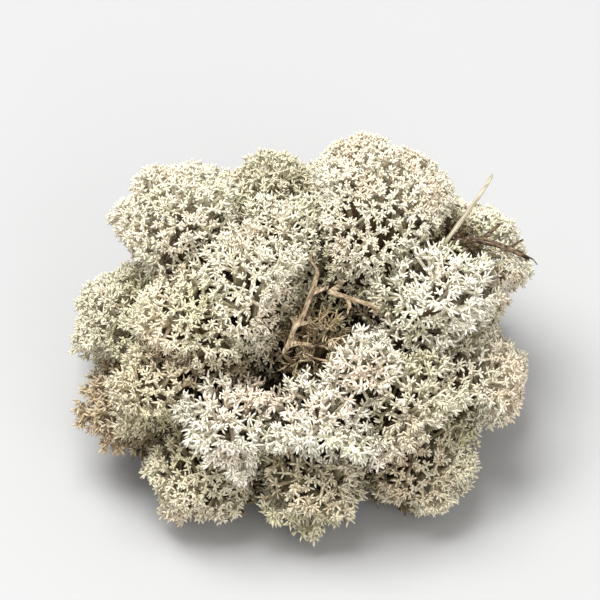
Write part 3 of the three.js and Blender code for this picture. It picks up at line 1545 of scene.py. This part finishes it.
@dataclass(frozen=True)
class Stalks:
    """Stalks that run from the last branches down to the resting face.

    Args:
        foot: radius of a stalk's foot.
        uneven: least and most thickness, as a share of its radius.
        waver: random sideways shift of its rings.
        waver_up: random shift of its rings up and down, as a share of that sideways.
        rings: rings along it.
        sides: sides of its section.
    """

    foot: float = 0.62 * MM
    uneven: Range = (0.85, 1.15)
    waver: float = 0.35 * MM
    waver_up: float = 0.3
    rings: int = 7
    sides: int = 7

    def grow(self, plant: Growth, tops: Level) -> None:
        """Adds the stalks, which all lean away from the root.

        Args:
            plant: the plant.
            tops: the branches that the stalks carry.
        """
        feet = ROOT + (tops.at - ROOT) * (-ROOT[2] / (tops.at[:, 2:] - ROOT[2]))
        feet[:, 2] = 0.0
        down = unit(feet - tops.at)
        path = bowed(feet, -down, tops.at, unit(tops.facing - down), self.rings)
        waver = plant.rng.normal(0, self.waver, path.shape)
        waver[:, [0, -1]] = 0.0
        waver[:, :, 2] *= self.waver_up
        share = np.linspace(0, 1, self.rings)[None, :]
        uneven = plant.rng.uniform(*self.uneven, (len(feet), self.rings))
        radii = (self.foot * (1 - share) + tops.radius[:, None] * share) * uneven
        length = np.linalg.norm(feet - tops.at, axis=1)[:, None]
        ages = tops.age[:, None] + length * (1 - share)
        plant.twigs.add(path + waver, radii, ages, tops.tint, self.sides, plant.rng)


@dataclass(frozen=True)
class DeadBranches:
    """Forked side branches that died in the shade, which fill the inside of the plant.

    Args:
        per_metre: their number for each metre between the root and the crown's middle.
        inner: spots inside the clump that they also head for, as a share of the number of whorls.
        under_crown: how far under the living crown the highest one ends.
        over_floor: how far over the resting face the lowest one ends.
        crowding: the lower this power is, the nearer to the crown most of them end.
        run: least and most length of one along its stalk.
        leave_stray: random turn where it leaves its stalk.
        end_stray: random turn at its end.
        radius: least and most radius.
        taper: radius at its base and at its end, as a share of its radius.
        end_age: age of the end of the highest one.
        base_age: how much older its base is than its end.
        rings: rings along it.
        sides: sides of its section.
        tips: number of tips at its end.
        tip_stray: random turn of a tip.
        tip_length: least and most length of a tip.
        tip_steps: lengths of a tip's two steps, as a share of its length.
        tip_radius: radius of a tip, as a share of its branch's radius.
        tip_taper: radius at a tip's base, bend and end, as a share of its radius.
    """

    per_metre: float = 2600.0
    inner: float = 0.5
    under_crown: float = 3.5 * MM
    over_floor: float = 2.0 * MM
    crowding: float = 0.7
    run: Range = (3.0 * MM, 6.0 * MM)
    leave_stray: float = 0.25
    end_stray: float = 0.35
    radius: Range = (0.26 * MM, 0.42 * MM)
    taper: Range = (1.25, 0.8)
    end_age: float = 6.0 * MM
    base_age: float = 3.0 * MM
    rings: int = 4
    sides: int = 4
    tips: int = 3
    tip_stray: float = 0.75
    tip_length: Range = (0.9 * MM, 2.2 * MM)
    tip_steps: Range = (0.5, 0.6)
    tip_radius: float = 0.7
    tip_taper: Triple = (1.0, 0.8, 0.0)

    def grow(self, plant: Growth, tops: Level, whorls: np.ndarray, hidden: np.ndarray) -> None:
        """Adds the dead branches along the stalks.

        Args:
            plant: the plant.
            tops: the branches that the stalks carry.
            whorls: where the whorls of the living crown are.
            hidden: spots on the plant's outside that its neighbours hide.
        """
        rng = plant.rng
        inner = rng.permutation(len(hidden))[: int(len(whorls) * self.inner)]
        goals = np.concatenate([whorls, hidden[inner]]) - ROOT
        count = int(plant.solid.centre_reach * self.per_metre)
        chosen = rng.integers(len(goals), size=count)
        way = unit(goals)[chosen]
        most = np.linalg.norm(goals, axis=1)[chosen] - self.under_crown
        least = np.minimum(-ROOT[2] / way[:, 2] + self.over_floor, most)
        reach = least + (most - least) * rng.uniform(0, 1, count) ** self.crowding
        owner = nearest(way, unit(tops.at - ROOT))
        stalk_way = unit(tops.at - ROOT)[owner]
        back = np.maximum(reach - rng.uniform(*self.run, count), least - self.over_floor)
        start = ROOT + stalk_way * back[:, None]
        end = ROOT + way * reach[:, None]
        straight = unit(end - start)
        leave = unit(straight + stalk_way + rng.normal(0, self.leave_stray, start.shape))
        arrive = unit(straight + rng.normal(0, self.end_stray, start.shape))
        radius = rng.uniform(*self.radius, count)
        radii = radius[:, None] * np.linspace(*self.taper, self.rings)
        age = most + self.end_age - reach
        ages = age[:, None] + np.linspace(self.base_age, 0, self.rings)
        tints = tops.tint[owner]
        plant.twigs.add(bowed(start, leave, end, arrive, self.rings), radii, ages, tints, self.sides, rng)
        self.fork(plant, Level(end, arrive, tints, age, radius))

    def fork(self, plant: Growth, ends: Level) -> None:
        """Adds the pointed tips at the ends of the dead branches.

        Args:
            plant: the plant.
            ends: the ends of the branches.
        """
        rng = plant.rng
        owner = np.repeat(np.arange(len(ends.at)), self.tips)
        base, facing = ends.at[owner], ends.facing[owner]
        outward = unit(facing + rng.normal(0, self.tip_stray, facing.shape))
        length = rng.uniform(*self.tip_length, len(owner))[:, None]
        bend = base + unit(outward + facing) * length * self.tip_steps[0]
        end = bend + outward * length * self.tip_steps[1]
        path = np.stack([base, bend, end], 1)
        radii = (ends.radius[owner] * self.tip_radius)[:, None] * self.tip_taper
        ages = np.repeat(ends.age[owner][:, None], len(self.tip_taper), axis=1)
        plant.twigs.add(path, radii, ages, ends.tint[owner], TIP_SIDES, rng, pointed=True)


@dataclass(frozen=True)
class Podetium:
    """One plant: a crown of whorled tips, its branches, and the stalks under them.

    Args:
        plant: what it is called, and how it branches.
        seed: seed of its random numbers.
        tips: the tips of its whorls.
        side_tips: the tips under its whorls.
        branches: its shared branches.
        stalks: its stalks.
        dead_branches: the dead branches inside it.
    """

    plant: Plant
    seed: int
    tips: TipStar = TipStar()
    side_tips: SideTips = SideTips()
    branches: SharedBranches = SharedBranches()
    stalks: Stalks = Stalks()
    dead_branches: DeadBranches = DeadBranches()

    def build(self, thicket: Thicket) -> bpy.types.Object:
        """Grows the plant.

        Args:
            thicket: the solids of all the plants.

        Returns:
            The finished object.
        """
        rng = np.random.default_rng(self.seed)
        growth = Growth(Solid(self.plant.node), BRANCHING[self.plant.habit], rng)
        crown = Crown(self.plant, growth)
        whorls = crown.whorls(thicket)
        self.tips.grow(growth, whorls)
        self.side_tips.grow(growth, whorls)
        tops = self.branches.grow(growth, whorls)
        self.stalks.grow(growth, tops)
        self.dead_branches.grow(growth, tops, whorls.at, crown.hidden)
        name = self.plant.node + "_plant"
        piece = bpy.data.objects.new(name, growth.twigs.mesh(name))
        bpy.context.scene.collection.objects.link(piece)
        return piece


@dataclass(frozen=True)
class Colony:
    """All the plants of the clump.

    Args:
        plants: the plants, each of which is grown with its number as its seed.
    """

    plants: tuple[Plant, ...] = (
        Plant("crown_left", Habit.TIGHT, Finish.PALE),
        Plant("crown_right", Habit.DENSE, Finish.PALE),
        # the saddle lies low between the crowns; its fade darkens it as painted shade
        Plant("crown_saddle", Habit.TIGHT, Finish.PALE, tone=-0.16, fade=1.6 * MM),
        Plant("crown_centre", Habit.TIGHT, Finish.PALE, tone=-0.08),
        Plant("crown_middle", Habit.TIGHT, Finish.PALE),
        Plant("shoulder_left", Habit.TIGHT, Finish.BEIGE),
        Plant("shoulder_right", Habit.NET, Finish.WHITE),
        Plant("flank_left", Habit.TIGHT, Finish.PALE, tone=-0.1, fade=0.9 * MM),
        Plant("flank_right", Habit.DENSE, Finish.PALE),
        Plant("front_corner", Habit.TIGHT, Finish.BEIGE, fade=1.3 * MM),
        Plant("front_left", Habit.NET, Finish.WHITE),
        Plant("front_upper", Habit.NET, Finish.WHITE),
        Plant("front_middle", Habit.NET, Finish.WHITE),
        Plant("front_right", Habit.NET, Finish.PALE, fade=0.6 * MM),
        Plant("side_right", Habit.TIGHT, Finish.PALE, tone=0.1),
        Plant("back_left", Habit.TIGHT, Finish.PALE, tone=-0.12),
        Plant("back_middle", Habit.TIGHT, Finish.PALE, tone=-0.15),
        Plant("back_right", Habit.TIGHT, Finish.PALE),
        Plant("tuft_tan", Habit.NET, Finish.TAN),
        Plant("tuft_front_left", Habit.TIGHT, Finish.BEIGE),
        Plant("tuft_front", Habit.NET, Finish.BEIGE),
        Plant("tuft_front_right", Habit.TIGHT, Finish.BEIGE),
        Plant("tuft_right", Habit.TIGHT, Finish.BEIGE),
        Plant("tuft_back_right", Habit.TIGHT, Finish.BEIGE),
        Plant("tuft_back", Habit.TIGHT, Finish.BEIGE),
        Plant("tuft_back_left", Habit.TIGHT, Finish.BEIGE),
        Plant("tuft_left", Habit.TIGHT, Finish.BEIGE),
        Plant("dead_podetium", Habit.WITHERED, Finish.TAN),
    )

    def build(self) -> None:
        materials = {finish: finish.value.material() for finish in Finish}
        thicket = Thicket(tuple(plant.node for plant in self.plants), ROT_AND_SHADE)
        for seed, plant in enumerate(self.plants):
            piece = Podetium(plant, seed).build(thicket)
            piece.data.materials.append(materials[plant.finish])
            declare(piece, plant.node)


@dataclass(frozen=True)
class Crease:
    """Wrinkles in a skin.

    Args:
        size: size of the clouds that they follow.
        depth: height from the deepest to the highest place.
        layers: number of finer layers.
        middle: value of the clouds where the skin stays in place.
    """

    size: float
    depth: float
    layers: int = 2
    middle: float = 0.5


@dataclass
class Stick:
    """A piece of litter that is drawn out of a circle along the middle of its solid.

    Args:
        node: name of the piece.
        finish: its finish.
        radius: its radius.
        seed: seed of its random numbers.
        sides: sides of its section.
        rings: rings along it.
        waver: how far its middle wanders.
        uneven: how much its radius changes from ring to ring.
        thinning: radius at its far end, as a share of that at its near end.
        worn: radius of the outermost rings, as a share of what it would be.
        end_gap: part of its solid that it leaves free at each end, as a share of the length.
        bends: degree of the curve that its middle follows.
        branch_steps: steps in which a side branch is drawn out.
        branch_bend: random bend of a side branch.
        slim: how much thinner a side branch is after each step.
        merge: points nearer than this are merged.
        smoothing: times that the piece is subdivided.
        creases: wrinkles in its skin.
    """

    node: str
    finish: StickFinish
    radius: float
    seed: int
    sides: int = 8
    rings: int = 14
    waver: float = 0.20 * MM
    uneven: float = 0.08
    thinning: float = 1.0
    worn: float = 1.0
    end_gap: float = 0.01
    bends: int = 2
    branch_steps: int = 4
    branch_bend: float = 0.35
    slim: float = 0.8
    merge: float = 0.001 * MM
    smoothing: int = 2
    creases: tuple[Crease, ...] = ()

    def build(self) -> None:
        self.rng = np.random.default_rng(self.seed)
        self.line = self.middle_line()
        self.way = (self.line[-1] - self.line[0]).normalized()
        self.piece = self.drawn_out()
        self.shape()
        self.close()
        for crease in self.creases:
            self.wrinkle(crease)
        self.dress()
        declare(self.piece, self.node)

    def middle_line(self) -> list[Vector]:
        """Points along the middle of the frame's solid, with a slight waver.

        Returns:
            One point for each ring.
        """
        points = np.array([vertex.co[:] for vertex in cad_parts[self.node].data.vertices])
        axis = np.linalg.svd(points - points.mean(0), full_matrices=False)[2][0]
        along = points @ (axis * np.sign(axis[0]))
        share = (along - along.min()) / np.ptp(along)
        curve = np.polyfit(share, points, self.bends)
        steps = np.linspace(self.end_gap, 1 - self.end_gap, self.rings)
        line = np.stack([np.polyval(curve[:, i], steps) for i in range(3)], 1)
        wander = self.rng.normal(0, self.waver, (self.rings + 2, 3))
        line += (wander[:-2] + 2 * wander[1:-1] + wander[2:]) / 3
        return [Vector(point) for point in line]

    def radii(self) -> list[float]:
        """The radius along the stick.

        Returns:
            One radius for each ring.
        """
        change = self.rng.normal(0, self.uneven, self.rings)
        radii = self.radius * (1 + change) * np.linspace(1.0, self.thinning, self.rings)
        radii[[0, -1]] *= self.worn
        return list(radii)

    def drawn_out(self) -> bpy.types.Object:
        """Draws the stick out of a circle, ring by ring.

        Returns:
            The object, in edit mode.
        """
        radii = self.radii()
        bpy.ops.object.select_all(action="DESELECT")
        bpy.ops.mesh.primitive_circle_add(
            vertices=self.sides,
            radius=radii[0],
            fill_type="NGON",
            location=self.line[0],
            rotation=self.way.to_track_quat("Z", "Y").to_euler(),
        )
        piece = bpy.context.object
        piece.name = self.node + "_piece"
        bpy.ops.object.mode_set(mode="EDIT")
        for ring in range(1, self.rings):
            step = self.line[ring] - self.line[ring - 1]
            self.extrude(step, radii[ring] / radii[ring - 1], self.line[ring])
        return piece

    @staticmethod
    def extrude(step: Vector, growth: float, centre: Vector) -> None:
        """Extrudes what is selected by a step, and makes its new end larger or smaller."""
        bpy.ops.mesh.extrude_region_move(TRANSFORM_OT_translate={"value": step})
        bpy.ops.transform.resize(value=(growth, growth, growth), center_override=centre)

    def select_face(self, near: Vector, way: Vector) -> Vector:
        """Selects the one face that lies nearest to a point and faces a given way.

        Args:
            near: the point.
            way: the way to face.

        Returns:
            The middle of the face.
        """
        mesh = bmesh.from_edit_mesh(self.piece.data)
        place = self.piece.matrix_world
        for face in mesh.faces:
            face.select_set(False)

        def fit(face: bmesh.types.BMFace) -> float:
            """How well a face answers."""
            middle = place @ face.calc_center_median()
            return (place.to_3x3() @ face.normal).dot(way) * self.radius - (middle - near).length

        chosen = max(mesh.faces, key=fit)
        chosen.select_set(True)
        bmesh.update_edit_mesh(self.piece.data)
        return place @ chosen.calc_center_median()

    def side_branch(self, root: Vector, way: Vector, length: float) -> Vector:
        """Draws a bent side branch out of one face.

        Args:
            root: the place on the stick where it stands.
            way: direction of the branch.
            length: its length.

        Returns:
            The end of the branch.
        """
        end = self.select_face(root, way)
        bend = Vector(self.rng.normal(0, self.branch_bend, 3))
        for number in range(self.branch_steps):
            turned = (way + bend * number / self.branch_steps).normalized()
            step = turned * length / self.branch_steps
            end = end + step
            self.extrude(step, self.slim, end)
        return end

    def shape(self) -> None:
        """Shapes the drawn stick further, which a plain one doesn't need."""

    def close(self) -> None:
        """Merges doubles, turns the faces outwards, smooths the piece and sets it at the origin."""
        bpy.ops.mesh.select_all(action="SELECT")
        bpy.ops.mesh.remove_doubles(threshold=self.merge)
        bpy.ops.mesh.normals_make_consistent(inside=False)
        bpy.ops.object.mode_set(mode="OBJECT")
        rounded = self.piece.modifiers.new("rounded", "SUBSURF")
        rounded.levels = rounded.render_levels = self.smoothing
        bpy.ops.object.modifier_apply(modifier=rounded.name)
        bpy.ops.object.transform_apply(location=True, rotation=True, scale=True)
        bpy.ops.object.shade_smooth()

    def wrinkle(self, crease: Crease) -> None:
        """Wrinkles the finished surface.

        Args:
            crease: the wrinkles.
        """
        clouds = bpy.data.textures.new(self.node, "CLOUDS")
        clouds.noise_scale = crease.size
        clouds.noise_depth = crease.layers
        wrinkled = self.piece.modifiers.new("wrinkled", "DISPLACE")
        wrinkled.texture = clouds
        wrinkled.strength = crease.depth
        wrinkled.mid_level = crease.middle
        bpy.ops.object.modifier_apply(modifier=wrinkled.name)

    def dress(self) -> None:
        """Gives the stick its finish."""
        centre = (self.line[0] + self.line[-1]) / 2
        self.piece.data.materials.append(self.finish.material(self.piece.name, centre, self.way))


@dataclass
class DeadStalk(Stick):
    """A dead, bleached lichen stalk with forked side branches.

    Args:
        branches: number of side branches.
        branch_length: least and most length of one.
        turn: turn round the stalk from one to the next, in radians.
        turn_stray: random turn on top of that.
        lean: least and most lean of one along the stalk.
        fork: length of its fork, as a share of its own.
        fork_back: how far the fork stands back from its end, as a share of its length.
        fork_lean: how much the fork follows the branch.
    """

    worn: float = 0.6
    creases: tuple[Crease, ...] = (Crease(0.7 * MM, 0.18 * MM), Crease(0.22 * MM, 0.08 * MM))
    branches: int = 6
    branch_length: Range = (1.4 * MM, 3.0 * MM)
    turn: float = 2.4
    turn_stray: float = 0.4
    lean: Range = (0.2, 0.8)
    fork: float = 0.55
    fork_back: float = 0.4
    fork_lean: float = 0.6

    def shape(self) -> None:
        """Draws out side branches, each with a fork."""
        across = self.way.orthogonal().normalized()
        for number, ring in enumerate(np.linspace(1, self.rings - 2, self.branches).astype(int)):
            turn = number * self.turn + self.rng.normal(0, self.turn_stray)
            side = Quaternion(self.way, turn) @ across
            way = (side + self.way * self.rng.uniform(*self.lean)).normalized()
            length = self.rng.uniform(*self.branch_length)
            end = self.side_branch(self.line[ring], way, length)
            beside = way.cross(self.way).normalized() * self.rng.choice((-1.0, 1.0))
            fork_way = (way * self.fork_lean + beside).normalized()
            self.side_branch(end - way * length * self.fork_back, fork_way, length * self.fork)


@dataclass
class Straw(Stick):
    """A dry grass stem, ribbed, with one joint and a drawn-out point.

    Args:
        taper: how much thinner it gets along its length, as a share of its radius.
        joint: ring of its joint.
        swell: how much thicker its joint is.
        point: radius of its last ring, as a share of what it would be.
        rib: sides of its section from one groove to the next.
        groove: depth of a groove, as a share of the radius.
    """

    sides: int = 12
    rings: int = 12
    waver: float = 0.01 * MM
    taper: float = 0.15
    joint: int = 4
    swell: float = 1.25
    point: float = 0.4
    rib: int = 3
    groove: float = 0.28

    def radii(self) -> list[float]:
        """Slim and even, swollen at the joint, thinning to the point.

        Returns:
            One radius for each ring.
        """
        radii = self.radius * (1.0 - self.taper * np.linspace(0, 1, self.rings))
        radii[self.joint] *= self.swell
        radii[-1] *= self.point
        return list(radii)

    def shape(self) -> None:
        """Presses grooves between the ribs."""
        mesh = bmesh.from_edit_mesh(self.piece.data)
        for vertex in mesh.verts:
            side = math.atan2(vertex.co.y, vertex.co.x) / (2 * math.pi) * self.sides
            vertex.select_set(round(side) % self.rib == 0)
        bmesh.update_edit_mesh(self.piece.data)
        bpy.ops.transform.shrink_fatten(value=-self.groove * self.radius)


@dataclass
class BarkTwig(Stick):
    """A dark twig with rough bark, side twigs and splintered ends.

    Args:
        side_twigs: number of side twigs.
        side_length: least and most length of one.
        side_lean: how far one leans along the twig.
        first: place of the first one, as a share of the distance between them.
        first_turn: turn of the first one round the twig, in radians.
        turn: turn from one to the next.
        splinters: inset and push of each step in a broken end, as shares of the radius.
    """

    thinning: float = 0.72
    worn: float = 0.85
    slim: float = 0.85
    creases: tuple[Crease, ...] = (Crease(0.8 * MM, 0.26 * MM), Crease(0.25 * MM, 0.10 * MM))
    side_twigs: int = 3
    side_length: Range = (0.8 * MM, 2.0 * MM)
    side_lean: float = 0.7
    first: float = 0.6
    first_turn: float = 1.2
    turn: float = 2.6
    splinters: tuple[Range, ...] = ((0.2, 0.3), (0.25, -0.4))

    def shape(self) -> None:
        """Draws out the side twigs and tears the broken ends."""
        across = self.way.orthogonal().normalized()
        for number in range(self.side_twigs):
            ring = round((self.rings - 1) * (number + self.first) / self.side_twigs)
            around = Quaternion(self.way, self.first_turn + number * self.turn) @ across
            way = (around + self.way * self.side_lean).normalized()
            self.side_branch(self.line[ring], way, self.rng.uniform(*self.side_length))
        for end, way in ((self.line[-1], self.way), (self.line[0], -self.way)):
            self.select_face(end, way)
            for inset, push in self.splinters:
                bpy.ops.mesh.inset(thickness=inset * self.radius)
                bpy.ops.transform.translate(value=way * push * self.radius)


@dataclass(frozen=True)
class CaughtLitter:
    """The dead stalks, straw and twigs that are caught between the crowns.

    Args:
        sticks: the pieces of litter.
    """

    sticks: tuple[Stick, ...] = (
        DeadStalk("dead_stalk_long", DEAD_STALK, 0.37 * MM, seed=101, branches=8),
        DeadStalk("dead_stalk_short", DEAD_STALK, 0.33 * MM, seed=102, rings=8, branches=3),
        Straw("pale_straw", DRY_STRAW, 0.39 * MM, seed=103),
        BarkTwig(
            "dark_twig_long",
            DARK_BARK,
            0.5 * MM,
            seed=104,
            side_twigs=6,
            side_length=(2.0 * MM, 3.8 * MM),
        ),
        BarkTwig("dark_twig_short", DARK_BARK, 0.44 * MM, seed=105),
    )

    def build(self) -> None:
        """Models every piece of litter."""
        for stick in self.sticks:
            stick.build()


@dataclass(frozen=True)
class Lamp:
    """A square soft lamp.

    Args:
        name: its name.
        place: where it hangs.
        size: length of its sides.
        power: its power in watts.
    """

    name: str
    place: Triple
    size: float
    power: float

    def build(self, aim: Vector) -> None:
        """Hangs the lamp.

        Args:
            aim: the spot that it points at.
        """
        lamp = bpy.data.lights.new(self.name, "AREA")
        lamp.size = self.size
        lamp.energy = self.power
        item = bpy.data.objects.new(self.name, lamp)
        item.location = self.place
        item.rotation_euler = (aim - Vector(self.place)).to_track_quat("-Z", "Y").to_euler()
        bpy.context.scene.collection.objects.link(item)


@dataclass(frozen=True)
class Studio:
    """Floor, light and camera.

    Args:
        elevation: how steeply the camera looks down.
        distance: distance of the camera from the middle of the clump.
        fill: share of the frame's width that the clump takes.
        sensor: width of the camera's sensor, in the camera's own millimetres.
        near: distance from which on the camera sees.
        lamps: the lamps.
        lamp_aim: the spot that they point at.
        sky: strength of the light from all round.
        floor_size: length of the floor's sides.
        floor_grey: brightness of the floor.
        floor_roughness: roughness of the floor.
    """

    elevation: float = math.radians(45.8)
    distance: float = 1.037
    fill: float = 0.78
    sensor: float = 36.0
    near: float = 0.01
    lamps: tuple[Lamp, ...] = (
        Lamp("key", place=(-0.18, 0.0, 0.78), size=0.46, power=9.6),
        Lamp("fill", place=(0.35, -0.70, 0.50), size=0.60, power=3.2),
    )
    lamp_aim: Triple = (0.0, 0.0, 0.02)
    sky: float = 0.64
    floor_size: float = 6.0
    floor_grey: float = 0.42
    floor_roughness: float = 0.9

    def build(self) -> None:
        """Sets the scene round the clump."""
        self.floor()
        for lamp in self.lamps:
            lamp.build(Vector(self.lamp_aim))
        self.world()
        self.camera()
        bpy.context.scene.view_settings.view_transform = "Standard"

    def floor(self) -> None:
        """A plain pale floor."""
        bpy.ops.mesh.primitive_plane_add(size=self.floor_size, location=(0, 0, 0))
        plane = bpy.context.object
        plane.name = "floor"
        made = bpy.data.materials.new("floor")
        made.use_nodes = True
        shader = made.node_tree.nodes["Principled BSDF"]
        shader.inputs["Base Color"].default_value = (self.floor_grey, self.floor_grey, self.floor_grey, 1.0)
        shader.inputs["Roughness"].default_value = self.floor_roughness
        plane.data.materials.append(made)

    def world(self) -> None:
        """Even white light from all round."""
        world = bpy.data.worlds.new("studio")
        world.use_nodes = True
        background = world.node_tree.nodes["Background"]
        background.inputs["Color"].default_value = (1.0, 1.0, 1.0, 1.0)
        background.inputs["Strength"].default_value = self.sky
        bpy.context.scene.world = world

    def camera(self) -> None:
        """A camera that looks down at the front of the clump."""
        low, high = (Vector(corner) for corner in CAD_BOX)
        width = (high.x - low.x) / self.fill
        camera = bpy.data.cameras.new("camera")
        camera.sensor_width = self.sensor
        camera.lens = self.sensor / (width / self.distance)
        camera.clip_start = self.near
        item = bpy.data.objects.new("camera", camera)
        away = Vector((0.0, -math.cos(self.elevation), math.sin(self.elevation)))
        item.location = (low + high) / 2 + away * self.distance
        item.rotation_euler = (-away).to_track_quat("-Z", "Y").to_euler()
        bpy.context.scene.collection.objects.link(item)
        bpy.context.scene.camera = item
        bpy.context.view_layer.update()


def main() -> None:
    """Builds the clump and the studio."""
    logging.basicConfig(level=logging.INFO, format="%(message)s")
    bpy.ops.object.select_all(action="DESELECT")
    Colony().build()
    CaughtLitter().build()
    Studio().build()


if __name__ == "__main__":
    main()
